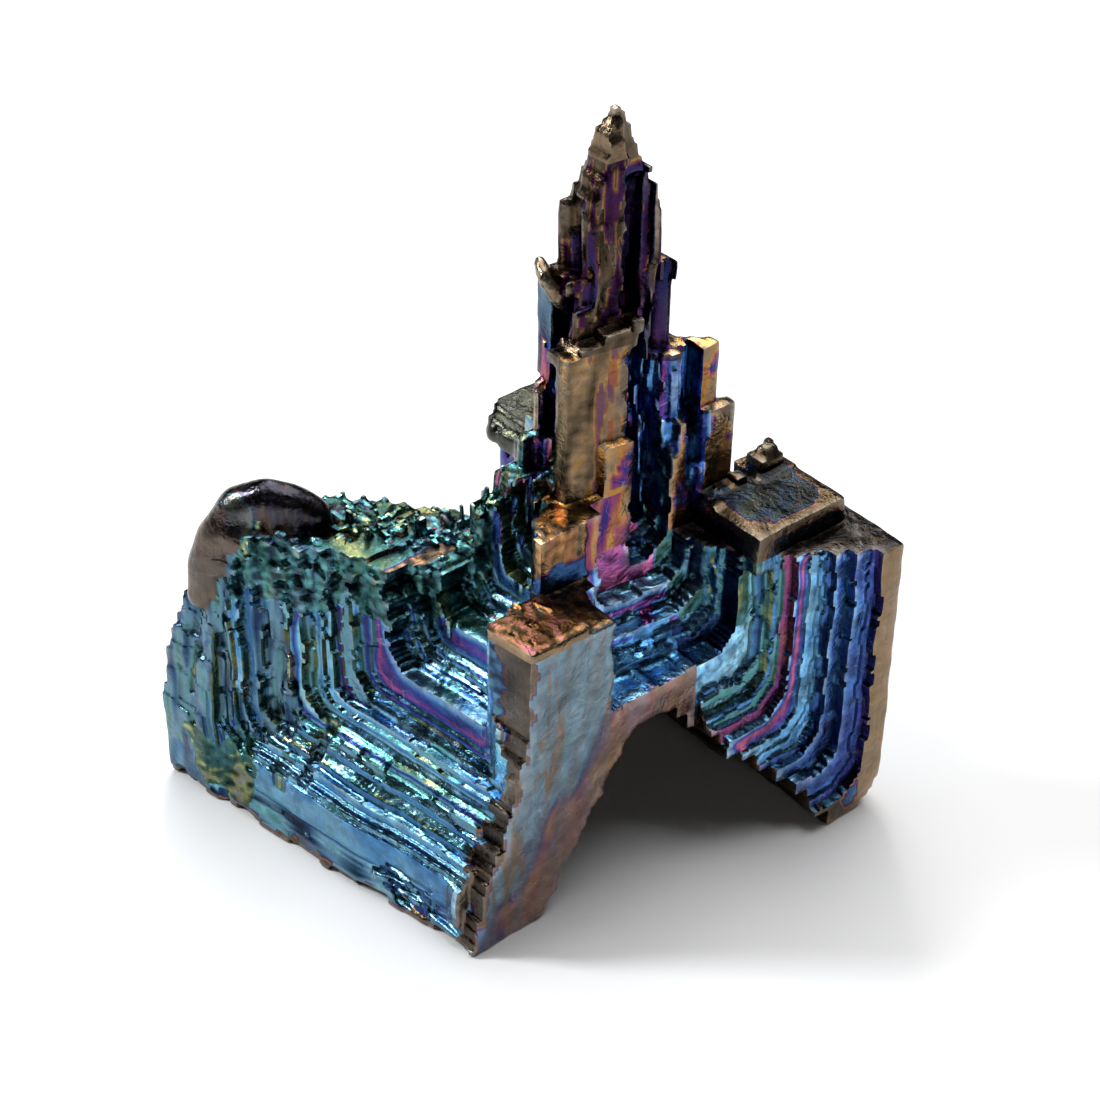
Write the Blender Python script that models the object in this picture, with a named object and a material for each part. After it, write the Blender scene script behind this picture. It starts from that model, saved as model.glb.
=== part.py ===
"""Bismuth hopper crystal: one crystal that grew as a stepped skeleton.

Lengths are millimetres until the finished mesh is scaled to metres. The plan is measured from the
foot of the front ridge: +X runs along the right side, +Y along the left side, +Z up. The last step
moves the origin to the middle of the plan, on the surface that the crystal stands on.
"""
import math
import random

import bmesh
import bpy
from mathutils import Vector

METRES = 0.001
FAR = 60.0
SEED = 83
MERGE = 0.003
FLAT_ANGLE = 0.2

# No ledge lies exactly where its neighbour does: each edge of a block is off by up to this much.
ROUGHNESS_OF_GROWTH = 0.12

# Ledges are unevenly spaced: each is off by up to this share of the spacing.
UNEVENNESS = 0.35

# Corners of the plan: the left, right and back arms reach past the front ridge.
LEFT_X = -4.3
BACK_Y = 24.7
RIGHT_X = 28.4
RIGHT_Y = -5.0
ARM_TOP = 19.6
BACK_ARM_TOP = 17.0

# The left side of the crystal is out of square: its front end is pushed in by this much.
SKEW = 4.3
SKEW_DEPTH = 12.0

# The right recess leans back towards the front ridge by this much. The lean sets in over the first
# of these widths of y and fades out over the second, which ends at LEAN_END_Y.
LEAN = 1.2
LEAN_FROM_X = 20.0
LEAN_OVER_X = 8.0
LEAN_IN_Y = 1.5
LEAN_OUT_Y = 3.0
LEAN_END_Y = 9.0

# Body between the arms, foot of the left side and right arm (x, far x, y, far y, bottom, top).
BODY = (0.0, RIGHT_X, 0.0, BACK_Y, 0.0, ARM_TOP)
LEFT_FOOT = (LEFT_X, 9.0, 0.0, 20.5, 0.0, 11.5)
RIGHT_ARM = (17.0, RIGHT_X, RIGHT_Y, 12.0, 0.0, ARM_TOP)

# Left arm: its end steps in as it rises (outer x, outer y, top).
LEFT_ARM = (
    (LEFT_X, BACK_Y, 5.2), (-4.1, 24.4, 9.3), (-3.7, 23.9, 12.4),
    (-3.3, 23.0, 15.0), (-2.9, 22.2, 17.4), (-2.4, 21.6, 20.0),
)
LEFT_ARM_FAR_X = 9.0
LEFT_ARM_Y = 13.0

# Front ridge: height at which each step starts, and its x after it.
FRONT_EDGE = (
    (1.0, -3.7), (2.4, -3.2), (4.1, -2.6), (5.5, -2.0), (7.2, -1.2),
    (8.8, -0.5), (10.5, 0.2), (12.4, 0.8), (14.6, 1.3), (16.5, 1.7),
)
RIM_OVERLAP = 0.2
FRONT_PLATE_END = 16.5

# Square posts that climb from the front ridge to the tower (x, y, far x, far y, top).
FRONT_POSTS = ((1.7, 0.0, 7.5, 3.0, 20.2), (7.5, 3.1, 16.0, 8.0, 23.4), (11.9, 5.0, 16.0, 8.0, 32.8))

# The posts on the corners of the tower grew out of its middle (x, y on the far side of that middle).
TOWER_X = (14.0, 16.0)
TOWER_Y = (7.0, 9.5)

# Posts on the tower's left corner (x, far y, top) and right corner (far x, y, top).
LEFT_POSTS = ((7.6, 10.1, 23.2), (9.3, 10.0, 24.8), (10.7, 9.7, 26.8), (12.0, 9.7, 30.0), (12.6, 9.7, 32.5))
RIGHT_POSTS = ((23.2, 4.4, 26.8), (22.1, 5.0, 31.0))

# Spire, from the widest block to the tip (x, far x, y, far y, top).
SPIRE = (
    (13.1, 19.6, 6.0, 10.0, 36.6),
    (14.0, 18.6, 6.1, 9.8, 40.2),
    (14.3, 18.2, 6.1, 9.5, 41.3),
    (14.6, 17.9, 6.2, 9.2, 42.3),
    (14.9, 17.6, 6.2, 8.9, 43.2),
    (15.1, 17.2, 6.3, 8.6, 44.3),
    (15.2, 16.8, 6.4, 8.2, 45.2),
    (15.4, 16.5, 6.6, 7.9, 45.8),
    (15.6, 16.1, 6.8, 7.5, 46.4),
)

# Left recess: depth, far y of the hollow and height of its floor at that depth.
LEFT_RECESS = (
    (-4.9, 21.5, 2.6), (-2.3, 19.0, 5.9), (0.2, 14.9, 8.9), (1.7, 13.5, 10.6), (3.7, 11.7, 13.2),
    (6.0, 10.5, 15.3), (7.9, 9.4, 17.0), (10.0, 7.9, 19.4), (11.0, 7.5, 21.0), (13.2, 7.2, 26.0),
)
LEFT_DEPTHS = (-3.6, 12.9)
LEFT_STEPS = 17

# Left recess: depth and near y of the hollow, which leaves the front ridge as a thin wall.
LEFT_NEAR = ((-3.7, 0.8), (1.6, 1.6), (2.0, 2.7), (7.4, 3.9), (12.9, 6.4))

# Right recess: depth, far x of the hollow and height of its floor at that depth.
RIGHT_RECESS = (
    (-5.0, 27.3, 1.0), (-3.8, 26.0, 3.0), (-1.5, 22.4, 8.2), (0.0, 20.9, 11.2), (1.5, 19.7, 13.6),
    (3.0, 19.1, 15.2), (4.2, 18.8, 16.5), (5.5, 18.3, 18.0), (7.0, 17.6, 19.8),
)
RIGHT_DEPTHS = (-4.2, 7.0)
RIGHT_NEAR = ((0.0, 8.7), (4.9, 13.6), (5.1, 15.9), (7.0, 16.2))
RIGHT_STEPS = 16

# Recesses at the back: each value at the outermost ledge, then at the innermost.
BACK_STEPS = 12
BACK_FLOOR = (2.5, 21.0)
BACK_RIGHT_X = (27.6, 20.5)
BACK_RIGHT_NEAR = (2.2, 6.8)
BACK_RIGHT_END = (21.0, 9.0)
BACK_LEFT_Y = (24.0, 10.2)
BACK_LEFT_END = (20.6, 18.5)
BACK_LEFT_DIAGONAL = 23.0

# The arm between them is lower than the others, and its tip hangs over.
BACK_ARM_CUT = (20.0, FAR, 13.0, FAR, BACK_ARM_TOP, FAR)
OVERHANG = (12.0, 22.2, 21.0, FAR, 2.5, 14.4)

# Hollow underneath: each value at the lowest ledge, then at the highest.
UNDER_STEPS = 18
UNDER_X = (3.4, 12.4)
UNDER_END = (24.0, 14.6)
UNDER_Y = (20.0, 9.5)
UNDER_TOP = (0.8, 11.0)

# The lower corner of the right arm is worn round (inner x, inner y, top of the cut).
WORN_CORNER = ((27.5, -2.6, 2.3), (26.5, -3.4, 0.9))

# Grooves between the blades of the spire (x, far x, y, far y, bottom, top).
SPIRE_GROOVES = ((-FAR, 15.1, 7.3, 8.2, 33.0, FAR), (16.5, 17.4, -FAR, 7.3, 30.0, FAR))

# Plates that grew over the edges (x, far x, y, far y, bottom, top).
RIGHT_ARM_CAP = ((20.2, 27.2, -1.1, 4.2, 18.7, 21.3), (25.2, 26.8, 2.5, 5.6, 18.2, 22.6))
BROW = (
    (12.8, 13.6, 8.9, 10.2, 36.2, 37.1),
    (12.5, 13.6, 7.5, 9.1, 35.7, 36.6),
    (12.3, 13.7, 6.0, 7.7, 35.1, 36.0),
    (12.4, 14.6, 5.1, 6.6, 34.5, 35.4),
    (14.3, 15.9, 4.8, 6.7, 33.9, 35.1),
    (15.7, 17.0, 5.0, 6.8, 33.7, 34.6),
)

# Rounded lumps where the melt froze on the crystal (x, y, z, radius across, radius up).
LUMPS = (
    (21.7, 23.2, 16.0, 1.2, 1.0), (3.2, 17.0, 19.2, 1.7, 1.2), (7.6, 13.4, 19.3, 1.5, 1.1),
    (-3.0, 22.6, 1.3, 1.2, 1.2), (-0.2, 19.3, 18.6, 2.1, 2.1),
)
LUMP_SIDES = 14
LUMP_RINGS = 8

# Thick rounded lip along the outer corner of the left arm: rings along its path (x, y, z, radius).
LIP = (
    (-3.1, 21.8, 14.2, 0.4), (-3.0, 21.7, 14.9, 1.0), (-2.6, 21.5, 17.0, 1.2), (-1.9, 21.1, 19.0, 1.4),
    (-0.9, 20.5, 20.7, 1.5), (-0.1, 19.4, 21.5, 1.4), (0.8, 18.3, 21.4, 1.3), (1.6, 17.3, 20.9, 1.1),
    (1.9, 16.8, 20.4, 0.5),
)
LIP_SIDES = 11

# Small crystals that crowd the top of the left arm.
CROWD = 16
CROWD_START = (1.5, 18.0)
CROWD_END = (9.5, 11.0)
CROWD_SPREAD = 1.6
CROWD_SIZE = (0.7, 1.5)
CROWD_FOOT = 15.0
CROWD_TOP = (19.9, 21.0)

COLOUR = (0.13, 0.22, 0.38, 1.0)
ROUGHNESS = 0.3
METALLIC = 0.95


def blend(start, end, share):
    """Value that lies the given share of the way from start to end."""
    return start + (end - start) * share


def along(rows, depth, column):
    """Value in a column of a recess table at a depth between its rows."""
    if depth <= rows[0][0]:
        return rows[0][column]
    for before, after in zip(rows, rows[1:]):
        if depth <= after[0]:
            return blend(before[column], after[column], (depth - before[0]) / (after[0] - before[0]))
    return rows[-1][column]


def clamp(value):
    return max(0.0, min(1.0, value))


def uneven_shares(count, chance):
    """Shares from 0 to 1, unevenly spaced."""
    middle = [(step + chance.uniform(-1, 1) * UNEVENNESS) / (count - 1) for step in range(1, count - 1)]
    return [0.0] + middle + [1.0]


def collection(name):
    group = bpy.data.collections.new(name)
    bpy.context.scene.collection.children.link(group)
    return group


def crystal_material():
    material = bpy.data.materials.new("oxidised_bismuth")
    material.use_nodes = True
    shader = material.node_tree.nodes["Principled BSDF"]
    shader.inputs["Base Color"].default_value = COLOUR
    shader.inputs["Roughness"].default_value = ROUGHNESS
    shader.inputs["Metallic"].default_value = METALLIC
    return material


def add_box(mesh, x0, x1, y0, y1, z0, z1):
    """Add one cuboid to a bmesh."""
    made = bmesh.ops.create_cube(mesh, size=1.0)["verts"]
    middle = Vector((x0 + x1, y0 + y1, z0 + z1)) / 2
    size = Vector((x1 - x0, y1 - y0, z1 - z0))
    for vert in made:
        vert.co = middle + Vector((vert.co.x * size.x, vert.co.y * size.y, vert.co.z * size.z))


def roughened(blocks, chance):
    """Move each edge of each block a little, but not those that lie on the outside or beyond it."""
    kept = (LEFT_X, RIGHT_X, RIGHT_Y, BACK_Y, 0.0, FAR, -FAR)
    moved = []
    for block in blocks:
        shifts = [0.0 if edge in kept else chance.uniform(-1, 1) * ROUGHNESS_OF_GROWTH for edge in block]
        moved.append(tuple(edge + shift for edge, shift in zip(block, shifts)))
    return moved


def new_object(name, mesh, group):
    """Turn a finished bmesh into an object of a collection."""
    data = bpy.data.meshes.new(name)
    mesh.to_mesh(data)
    mesh.free()
    thing = bpy.data.objects.new(name, data)
    group.objects.link(thing)
    return thing


def blocks_object(name, blocks, group):
    """One mesh object that holds a list of cuboids."""
    mesh = bmesh.new()
    for block in blocks:
        add_box(mesh, *block)
    return new_object(name, mesh, group)


def lip_object(name, group):
    """One mesh object for the lip: rings square to its path, joined and closed at both ends."""
    mesh = bmesh.new()
    points = [Vector(row[:3]) for row in LIP]
    rings = []
    for number, row in enumerate(LIP):
        path = points[min(number + 1, len(LIP) - 1)] - points[max(number - 1, 0)]
        side = path.cross(Vector((1.0, 0.0, 0.0))).normalized()
        other = path.cross(side).normalized()
        ring = []
        for corner in range(LIP_SIDES):
            turn = math.tau * corner / LIP_SIDES
            out = side * math.cos(turn) + other * math.sin(turn)
            ring.append(mesh.verts.new(points[number] + out * row[3]))
        rings.append(ring)
    for ring, following in zip(rings, rings[1:]):
        for corner in range(LIP_SIDES):
            after = (corner + 1) % LIP_SIDES
            mesh.faces.new((ring[corner], ring[after], following[after], following[corner]))
    mesh.faces.new(rings[0])
    mesh.faces.new(rings[-1])
    bmesh.ops.recalc_face_normals(mesh, faces=mesh.faces[:])
    return new_object(name, mesh, group)


def lumps_object(name, group):
    """One mesh object that holds the rounded lumps."""
    mesh = bmesh.new()
    for x, y, z, across, up in LUMPS:
        made = bmesh.ops.create_uvsphere(mesh, u_segments=LUMP_SIDES, v_segments=LUMP_RINGS, radius=1.0)
        for vert in made["verts"]:
            vert.co = Vector((x + vert.co.x * across, y + vert.co.y * across, z + vert.co.z * up))
    return new_object(name, mesh, group)


def as_guide(thing):
    """Mark a cutter or a piece to join: it is not part of the result by itself."""
    thing.hide_render = True
    thing.display_type = "WIRE"
    return thing


def boolean(target, tool, operation):
    step = target.modifiers.new(tool.name, "BOOLEAN")
    step.operation = operation
    step.solver = "EXACT"
    step.use_self = True
    step.object = tool


def left_arm_blocks():
    return [(x0, LEFT_ARM_FAR_X, LEFT_ARM_Y, y1, 0.0, top) for x0, y1, top in LEFT_ARM]


def tower_blocks():
    """Posts that climb to the tower, and the blocks of its spire."""
    blocks = []
    for x0, y0, x1, y1, top in FRONT_POSTS:
        blocks.append((x0, x1, y0, y1, 0.0, top))
    for x0, y1, top in LEFT_POSTS:
        blocks.append((x0, TOWER_X[1], TOWER_Y[0], y1, 0.0, top))
    for x1, y0, top in RIGHT_POSTS:
        blocks.append((TOWER_X[0], x1, y0, TOWER_Y[1], 0.0, top))
    for x0, x1, y0, y1, top in SPIRE:
        blocks.append((x0, x1, y0, y1, 0.0, top))
    return blocks


def front_edge_cuts():
    """Steps of the leaning front ridge, and the space in front of the front plate."""
    cuts = []
    for z0, x in FRONT_EDGE:
        cuts.append((-FAR, x, -FAR, along(LEFT_NEAR, x, 1) + RIM_OVERLAP, z0, FAR))
    cuts.append((-FAR, FRONT_PLATE_END, -FAR, 0.0, -FAR, FAR))
    return cuts


def left_recess_cuts(chance):
    cuts = []
    for share in uneven_shares(LEFT_STEPS, chance):
        depth = blend(*LEFT_DEPTHS, share)
        near = along(LEFT_NEAR, depth, 1)
        cuts.append((-FAR, depth, near, along(LEFT_RECESS, depth, 1), along(LEFT_RECESS, depth, 2), FAR))
    return cuts


def right_recess_cuts(chance):
    cuts = []
    for share in uneven_shares(RIGHT_STEPS, chance):
        depth = blend(*RIGHT_DEPTHS, share)
        near = along(RIGHT_NEAR, depth, 1)
        cuts.append((near, along(RIGHT_RECESS, depth, 1), -FAR, depth, along(RIGHT_RECESS, depth, 2), FAR))
    return cuts


def back_recess_cuts(chance):
    """Recesses on the two sides that face away, and the lowered arm between them."""
    cuts = [BACK_ARM_CUT, OVERHANG]
    for share in uneven_shares(BACK_STEPS, chance):
        floor = blend(*BACK_FLOOR, share)
        near = blend(*BACK_RIGHT_NEAR, share)
        cuts.append((blend(*BACK_RIGHT_X, share), FAR, near, blend(*BACK_RIGHT_END, share), floor, FAR))
        depth = blend(*BACK_LEFT_Y, share)
        cuts.append((BACK_LEFT_DIAGONAL - depth, blend(*BACK_LEFT_END, share), depth, FAR, floor, FAR))
    return cuts


def under_cuts(chance):
    """Stepped hollow underneath, open to the front right as a jagged arch."""
    cuts = []
    for share in uneven_shares(UNDER_STEPS, chance):
        x0 = blend(*UNDER_X, share)
        x1 = blend(*UNDER_END, share)
        cuts.append((x0, x1, -FAR, blend(*UNDER_Y, share), -FAR, blend(*UNDER_TOP, share)))
    return cuts


def worn_corner_cuts():
    return [(x0, FAR, -FAR, y1, -FAR, top) for x0, y1, top in WORN_CORNER]


def crowd_blocks(chance):
    """Small crystals on the top of the left arm, set along it at random."""
    blocks = []
    for number in range(CROWD):
        share = (number + 0.5) / CROWD
        x = blend(CROWD_START[0], CROWD_END[0], share) + chance.uniform(-1, 1) * CROWD_SPREAD
        y = blend(CROWD_START[1], CROWD_END[1], share) + chance.uniform(-1, 1) * CROWD_SPREAD
        half = chance.uniform(*CROWD_SIZE) / 2
        blocks.append((x - half, x + half, y - half, y + half, CROWD_FOOT, chance.uniform(*CROWD_TOP)))
    return blocks


def skewed(point):
    """Take a point of the square crystal to its place in the skewed one."""
    x, y, z = point
    side = SKEW * (1.0 - y / BACK_Y) * clamp((SKEW_DEPTH - x) / (SKEW_DEPTH - LEFT_X))
    lean = LEAN * clamp((LEAN_FROM_X - x) / LEAN_OVER_X)
    lean *= clamp(y / LEAN_IN_Y) * clamp((LEAN_END_Y - y) / LEAN_OUT_Y)
    return Vector((x + side, y + lean, z))


def finish_mesh(crystal, group):
    """Apply the steps, skew the crystal, centre its plan and scale it to metres."""
    evaluated = crystal.evaluated_get(bpy.context.evaluated_depsgraph_get())
    data = bpy.data.meshes.new_from_object(evaluated)
    mesh = bmesh.new()
    mesh.from_mesh(data)
    bmesh.ops.remove_doubles(mesh, verts=mesh.verts[:], dist=MERGE)
    flat = math.radians(FLAT_ANGLE)
    bmesh.ops.dissolve_limit(mesh, angle_limit=flat, verts=mesh.verts[:], edges=mesh.edges[:])
    bmesh.ops.dissolve_degenerate(mesh, dist=MERGE, edges=mesh.edges[:])
    bmesh.ops.triangulate(mesh, faces=mesh.faces[:])
    middle = Vector(((LEFT_X + RIGHT_X) / 2, (RIGHT_Y + BACK_Y) / 2, 0.0))
    for vert in mesh.verts:
        vert.co = (skewed(vert.co) - middle) * METRES
    mesh.to_mesh(data)
    mesh.free()
    data.name = "bismuth_crystal"
    finished = bpy.data.objects.new("bismuth_crystal", data)
    group.objects.link(finished)
    bpy.data.objects.remove(crystal)
    data.materials.clear()
    data.materials.append(crystal_material())
    return finished


def main():
    for thing in list(bpy.data.objects):
        bpy.data.objects.remove(thing)
    chance = random.Random(SEED)
    parts = collection("bismuth_hopper_crystal")
    guides = collection("guides")
    crystal = blocks_object("growth", [BODY], parts)
    steps = (
        ("arms", [LEFT_FOOT, RIGHT_ARM] + left_arm_blocks(), "UNION"),
        ("tower", tower_blocks(), "UNION"),
        ("crowd", crowd_blocks(chance), "UNION"),
        ("front_edge", front_edge_cuts(), "DIFFERENCE"),
        ("left_recess", left_recess_cuts(chance), "DIFFERENCE"),
        ("right_recess", right_recess_cuts(chance), "DIFFERENCE"),
        ("back_recesses", back_recess_cuts(chance), "DIFFERENCE"),
        ("spire_grooves", SPIRE_GROOVES, "DIFFERENCE"),
        ("crust", RIGHT_ARM_CAP + BROW, "UNION"),
        ("underside", under_cuts(chance) + worn_corner_cuts(), "DIFFERENCE"),
    )
    for name, blocks, operation in steps:
        boolean(crystal, as_guide(blocks_object(name, roughened(blocks, chance), guides)), operation)
    boolean(crystal, as_guide(lip_object("lip", guides)), "UNION")
    boolean(crystal, as_guide(lumps_object("lumps", guides)), "UNION")
    finish_mesh(crystal, parts)


main()
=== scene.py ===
"""Bismuth hopper crystal: the fine stepped skin of the crystal, its oxide film, and a pale studio.

The skin is worked out in millimetres from the foot of the front ridge, as a solid of small cells
between uneven growth planes, then bent a little, skewed like the crystal and brought to metres.
"""

import math
import random

import bpy
import numpy as np
from mathutils import Matrix, Vector, noise


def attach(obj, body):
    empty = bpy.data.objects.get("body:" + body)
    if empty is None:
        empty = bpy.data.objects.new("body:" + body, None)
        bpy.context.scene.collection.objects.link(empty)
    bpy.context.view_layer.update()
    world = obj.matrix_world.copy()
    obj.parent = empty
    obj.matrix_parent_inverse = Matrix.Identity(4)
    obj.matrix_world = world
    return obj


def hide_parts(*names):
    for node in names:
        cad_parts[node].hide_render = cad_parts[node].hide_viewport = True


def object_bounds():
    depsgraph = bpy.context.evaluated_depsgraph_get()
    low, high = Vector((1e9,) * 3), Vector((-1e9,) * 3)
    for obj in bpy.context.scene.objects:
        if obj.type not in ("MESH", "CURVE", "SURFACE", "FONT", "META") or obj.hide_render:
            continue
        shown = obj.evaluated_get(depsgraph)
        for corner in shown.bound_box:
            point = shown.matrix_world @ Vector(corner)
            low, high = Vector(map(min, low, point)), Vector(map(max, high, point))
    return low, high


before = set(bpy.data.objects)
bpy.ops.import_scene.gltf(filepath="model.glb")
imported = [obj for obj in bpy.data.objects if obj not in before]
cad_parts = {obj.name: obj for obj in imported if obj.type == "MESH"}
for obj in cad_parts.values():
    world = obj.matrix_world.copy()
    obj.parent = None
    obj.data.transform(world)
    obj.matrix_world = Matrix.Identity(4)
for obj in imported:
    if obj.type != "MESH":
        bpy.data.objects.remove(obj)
CAD_LOW, CAD_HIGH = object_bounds()

METRES = 0.001
FAR = 60.0  # beyond the crystal on any side
SEED = 29

# Corners of the plan, and the way from the front ridge's foot to its middle. Lengths are in millimetres.
LEFT_X, RIGHT_X, RIGHT_Y, BACK_Y = -4.3, 28.4, -5.0, 24.7
MIDDLE = np.array([(LEFT_X + RIGHT_X) / 2, (RIGHT_Y + BACK_Y) / 2, 0.0])
ARM_TOP, BACK_ARM_TOP = 19.6, 17.0

# The bend of the whole crystal: its skew, its lean, and the waves in its ledges as (size, length).
SKEW, SKEW_DEPTH = 4.3, 12.0
LEAN, LEAN_FROM_X, LEAN_OVER_X = 1.2, 20.0, 8.0
BEND_WAVES = ((0.13, 4.0), (0.06, 1.2))

# Growth planes: no two are nearer than the first length, and none farther apart on an axis than the second.
PLANE_NEAR = 0.10
PLANE_FAR = (0.40, 0.40, 0.50)
MEND_ROUNDS = 4
PEEL_LEFT = 1.8  # thickness that a groove leaves standing behind it

# Left arm's far corner: x, y and the height up to which it reaches there.
LEFT_ARM = (
    (LEFT_X, BACK_Y, 5.2), (-4.1, 24.4, 9.3), (-3.7, 23.9, 12.4),
    (-3.3, 23.0, 15.0), (-2.9, 22.2, 17.4), (-2.4, 21.6, 20.0),
)
ARM_STEP = 0.37
# Front ridge's edge: height and x.
FRONT_EDGE = (
    (1.0, -3.7), (2.4, -3.2), (4.1, -2.6), (5.5, -2.0), (7.2, -1.2),
    (8.8, -0.5), (10.5, 0.2), (12.4, 0.8), (14.6, 1.3), (16.5, 1.7),
)
FRONT_STEP, FRONT_TOP, FRONT_END = 0.45, 17.0, 16.5

# Tower. Front posts: x0, y0, x1, y1, top. Left posts: x0, y1, top. Right posts: x1, y0, top.
FRONT_POSTS = ((1.7, 0.0, 7.5, 3.0, 20.2), (7.5, 3.1, 16.0, 8.0, 23.4), (11.9, 5.0, 16.0, 8.0, 32.8))
LEFT_POSTS = ((7.6, 10.1, 23.2), (9.3, 10.0, 24.8), (10.7, 9.7, 26.8), (12.0, 9.7, 30.0), (12.6, 9.7, 32.5))
RIGHT_POSTS = ((23.2, 4.4, 26.8), (22.1, 5.0, 31.0))
BROW_POST = (12.75, 14.6, 8.9, 10.1, 30.0, 36.8)
# Spire: x0, x1, y0, y1, top of its main steps, and the tops of all its steps.
SPIRE = (
    (13.1, 19.6, 6.0, 10.0, 36.6), (14.0, 18.6, 6.1, 9.8, 40.2), (14.9, 17.6, 6.2, 8.9, 43.2),
    (15.1, 16.9, 6.4, 8.3, 44.8), (15.4, 16.5, 6.6, 7.9, 45.7), (15.7, 16.2, 6.9, 7.5, 46.4),
)
SPIRE_TOPS = [36.6] + list(np.arange(40.2, 46.5, 0.45)) + [46.4]

# Recesses: depth, far end and floor. Their near ends: depth and end. Depth is x on the left, y on the right.
LEFT_RECESS = (
    (-4.9, 21.5, 2.6), (-2.3, 19.0, 5.9), (0.2, 14.9, 8.9), (1.7, 13.5, 10.6), (3.7, 11.7, 13.2),
    (6.0, 10.5, 15.3), (7.9, 9.4, 17.0), (10.0, 7.9, 19.4), (11.0, 7.5, 21.0), (13.2, 7.2, 26.0),
)
LEFT_NEAR = ((-3.7, 0.45), (1.2, 0.95), (2.0, 2.2), (7.4, 3.7), (12.9, 6.4))
RIGHT_RECESS = (
    (-5.0, 27.3, 1.0), (-3.8, 26.0, 3.0), (-1.5, 22.4, 8.2), (0.0, 20.9, 11.2), (1.5, 19.7, 13.6),
    (3.0, 19.1, 15.2), (4.2, 18.8, 16.5), (5.5, 18.3, 18.0), (7.0, 17.6, 19.8),
)
RIGHT_NEAR = ((0.0, 8.7), (4.9, 13.6), (5.1, 15.9), (7.0, 16.2))

# Ledges of a recess, by height or far end: each its own, or (from, to, count) for a band of fine ones.
LEFT_FLOORS = (
    3.0, 3.35, 4.4, (4.4, 10.9, 17), 12.7, (12.7, 14.2, 4), 16.1, (16.1, 17.6, 4),
    18.8, 19.2, 20.4, 21.4, 23.4, 25.2,
)
RIGHT_ENDS = (26.6, 26.35, 25.5, 25.3, 24.5, (24.5, 23.3, 3), 22.4, (22.4, 20.9, 6))
RIGHT_FLOORS = (13.3, (13.3, 14.2, 3), 15.2, 15.45, 16.5, 16.75, 17.7, (17.7, 19.8, 5))

# Waves of a recess's near end, wall and ledge, as (size, length).
LEFT_WAVES = ((0.08, 3.0), (0.09, 3.5), (0.035, 7.0))
RIGHT_WAVES = ((0.10, 3.0), (0.08, 4.0), (0.08, 4.0))
BACK_WAVE = (0.10, 5.0)
# Terraces low on the left side: height and depth.
FOOT_TERRACES = ((0.55, 0.12), (0.95, 0.26), (1.4, 0.4), (1.75, 0.5), (2.3, 0.65))
FOOT_WAVE = (0.09, 5.0)
# Worn corner at the foot of the right arm.
WORN_X, WORN_RADIUS = 25.6, 2.8

# Grooves of the tower: from, to, low, high, depth. The first ones face the left, the second ones the right.
LEFT_GROOVES = ((7.4, 8.9, 36.6, 41.4, 0.7), (7.6, 8.7, 36.6, 40.4, 1.5), (7.0, 8.9, 25.0, 35.8, 0.9))
RIGHT_GROOVES = ((16.5, 18.0, 33.0, 42.4, 0.7), (16.7, 17.8, 33.0, 41.6, 1.5), (13.2, 14.2, 35.4, 39.6, 0.6))

# Crust: boxes of the cap on the right arm, as x0, x1, y0, y1, z0, z1.
CAP = (
    (20.2, 27.2, -1.1, 4.2, 18.7, 21.3), (24.4, 27.1, 3.0, 5.6, 18.2, 21.6), (24.9, 26.7, 3.5, 5.1, 21.0, 22.1),
    (25.3, 26.3, 3.8, 4.7, 22.0, 22.6), (20.4, 22.3, 3.7, 4.4, 21.0, 21.6), (22.9, 23.9, 3.6, 4.5, 21.0, 21.75),
)
# Beak on the front post, x0, x1, y0, y1, z0, z1: it narrows upwards from both ends.
BEAK = (11.9, 16.95, 4.95, 7.6, 32.0, 34.0)
BEAK_STEP, BEAK_TAPER_FROM, BEAK_TAPER, BEAK_REACH = 0.2, 32.8, 4.2, 0.65
# Small crystals along the ledge behind the lip: how many, and x and y of the line's two ends.
CRUMBS, CRUMB_LINE, CRUMB_SPREAD = 420, ((0.5, 19.5), (9.5, 10.5)), 1.3
# Small crystals on flat tops: x0, x1, y0, y1 and how many.
CRUMB_FIELDS = ((2, 7.3, 0.2, 2.8, 14), (7.7, 11.5, 3.3, 5.5, 26), (20.3, 28, 2, 12, 40), (12.2, 15, 5, 6, 5))

# Rounded growth: balls of x, y, z, radius. The brow and the lip are drawn through their rows.
BROW = (
    (13.0, 10.0, 37.0, 0.40), (12.7, 9.2, 36.6, 0.55), (12.7, 8.6, 36.0, 0.45), (13.1, 8.4, 35.3, 0.42),
    (13.7, 8.3, 34.6, 0.40), (14.3, 8.2, 34.1, 0.34),
)
LIP = (
    (-3.1, 21.8, 14.2, 0.4), (-3.0, 21.7, 14.9, 1.0), (-2.6, 21.5, 17.0, 1.2), (-1.9, 21.1, 19.0, 1.4),
    (-0.9, 20.5, 20.7, 1.5), (-0.1, 19.4, 21.5, 1.4), (0.8, 18.3, 21.4, 1.3), (1.6, 17.3, 20.9, 1.1),
    (1.9, 16.8, 20.4, 0.5),
)
LUMPS = (
    (20.9, 23.1, 15.8, 0.85), (3.2, 17.0, 19.2, 1.3), (7.6, 13.4, 19.3, 1.1), (-0.2, 19.3, 18.6, 2.0),
    (-1.2, 20.2, 19.2, 1.7), (0.6, 18.6, 19.8, 1.7), (-2.2, 20.9, 17.6, 1.3), (-0.4, 18.6, 18.2, 1.6),
    (2.0, 17.4, 19.4, 1.3),
)
BALLS_A_LINE = 90

# Finish of the skin: softening, radii over which its fullness is taken, and the angle of a sharp edge.
SOFT_ROUNDS, SOFT_SHARE, SHARP_DEGREES = 2, 0.45, 55
REACH_RADIUS, RIM_RADIUS, HOLLOW_RADIUS = 0.4, 1.0, 2.2

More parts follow.
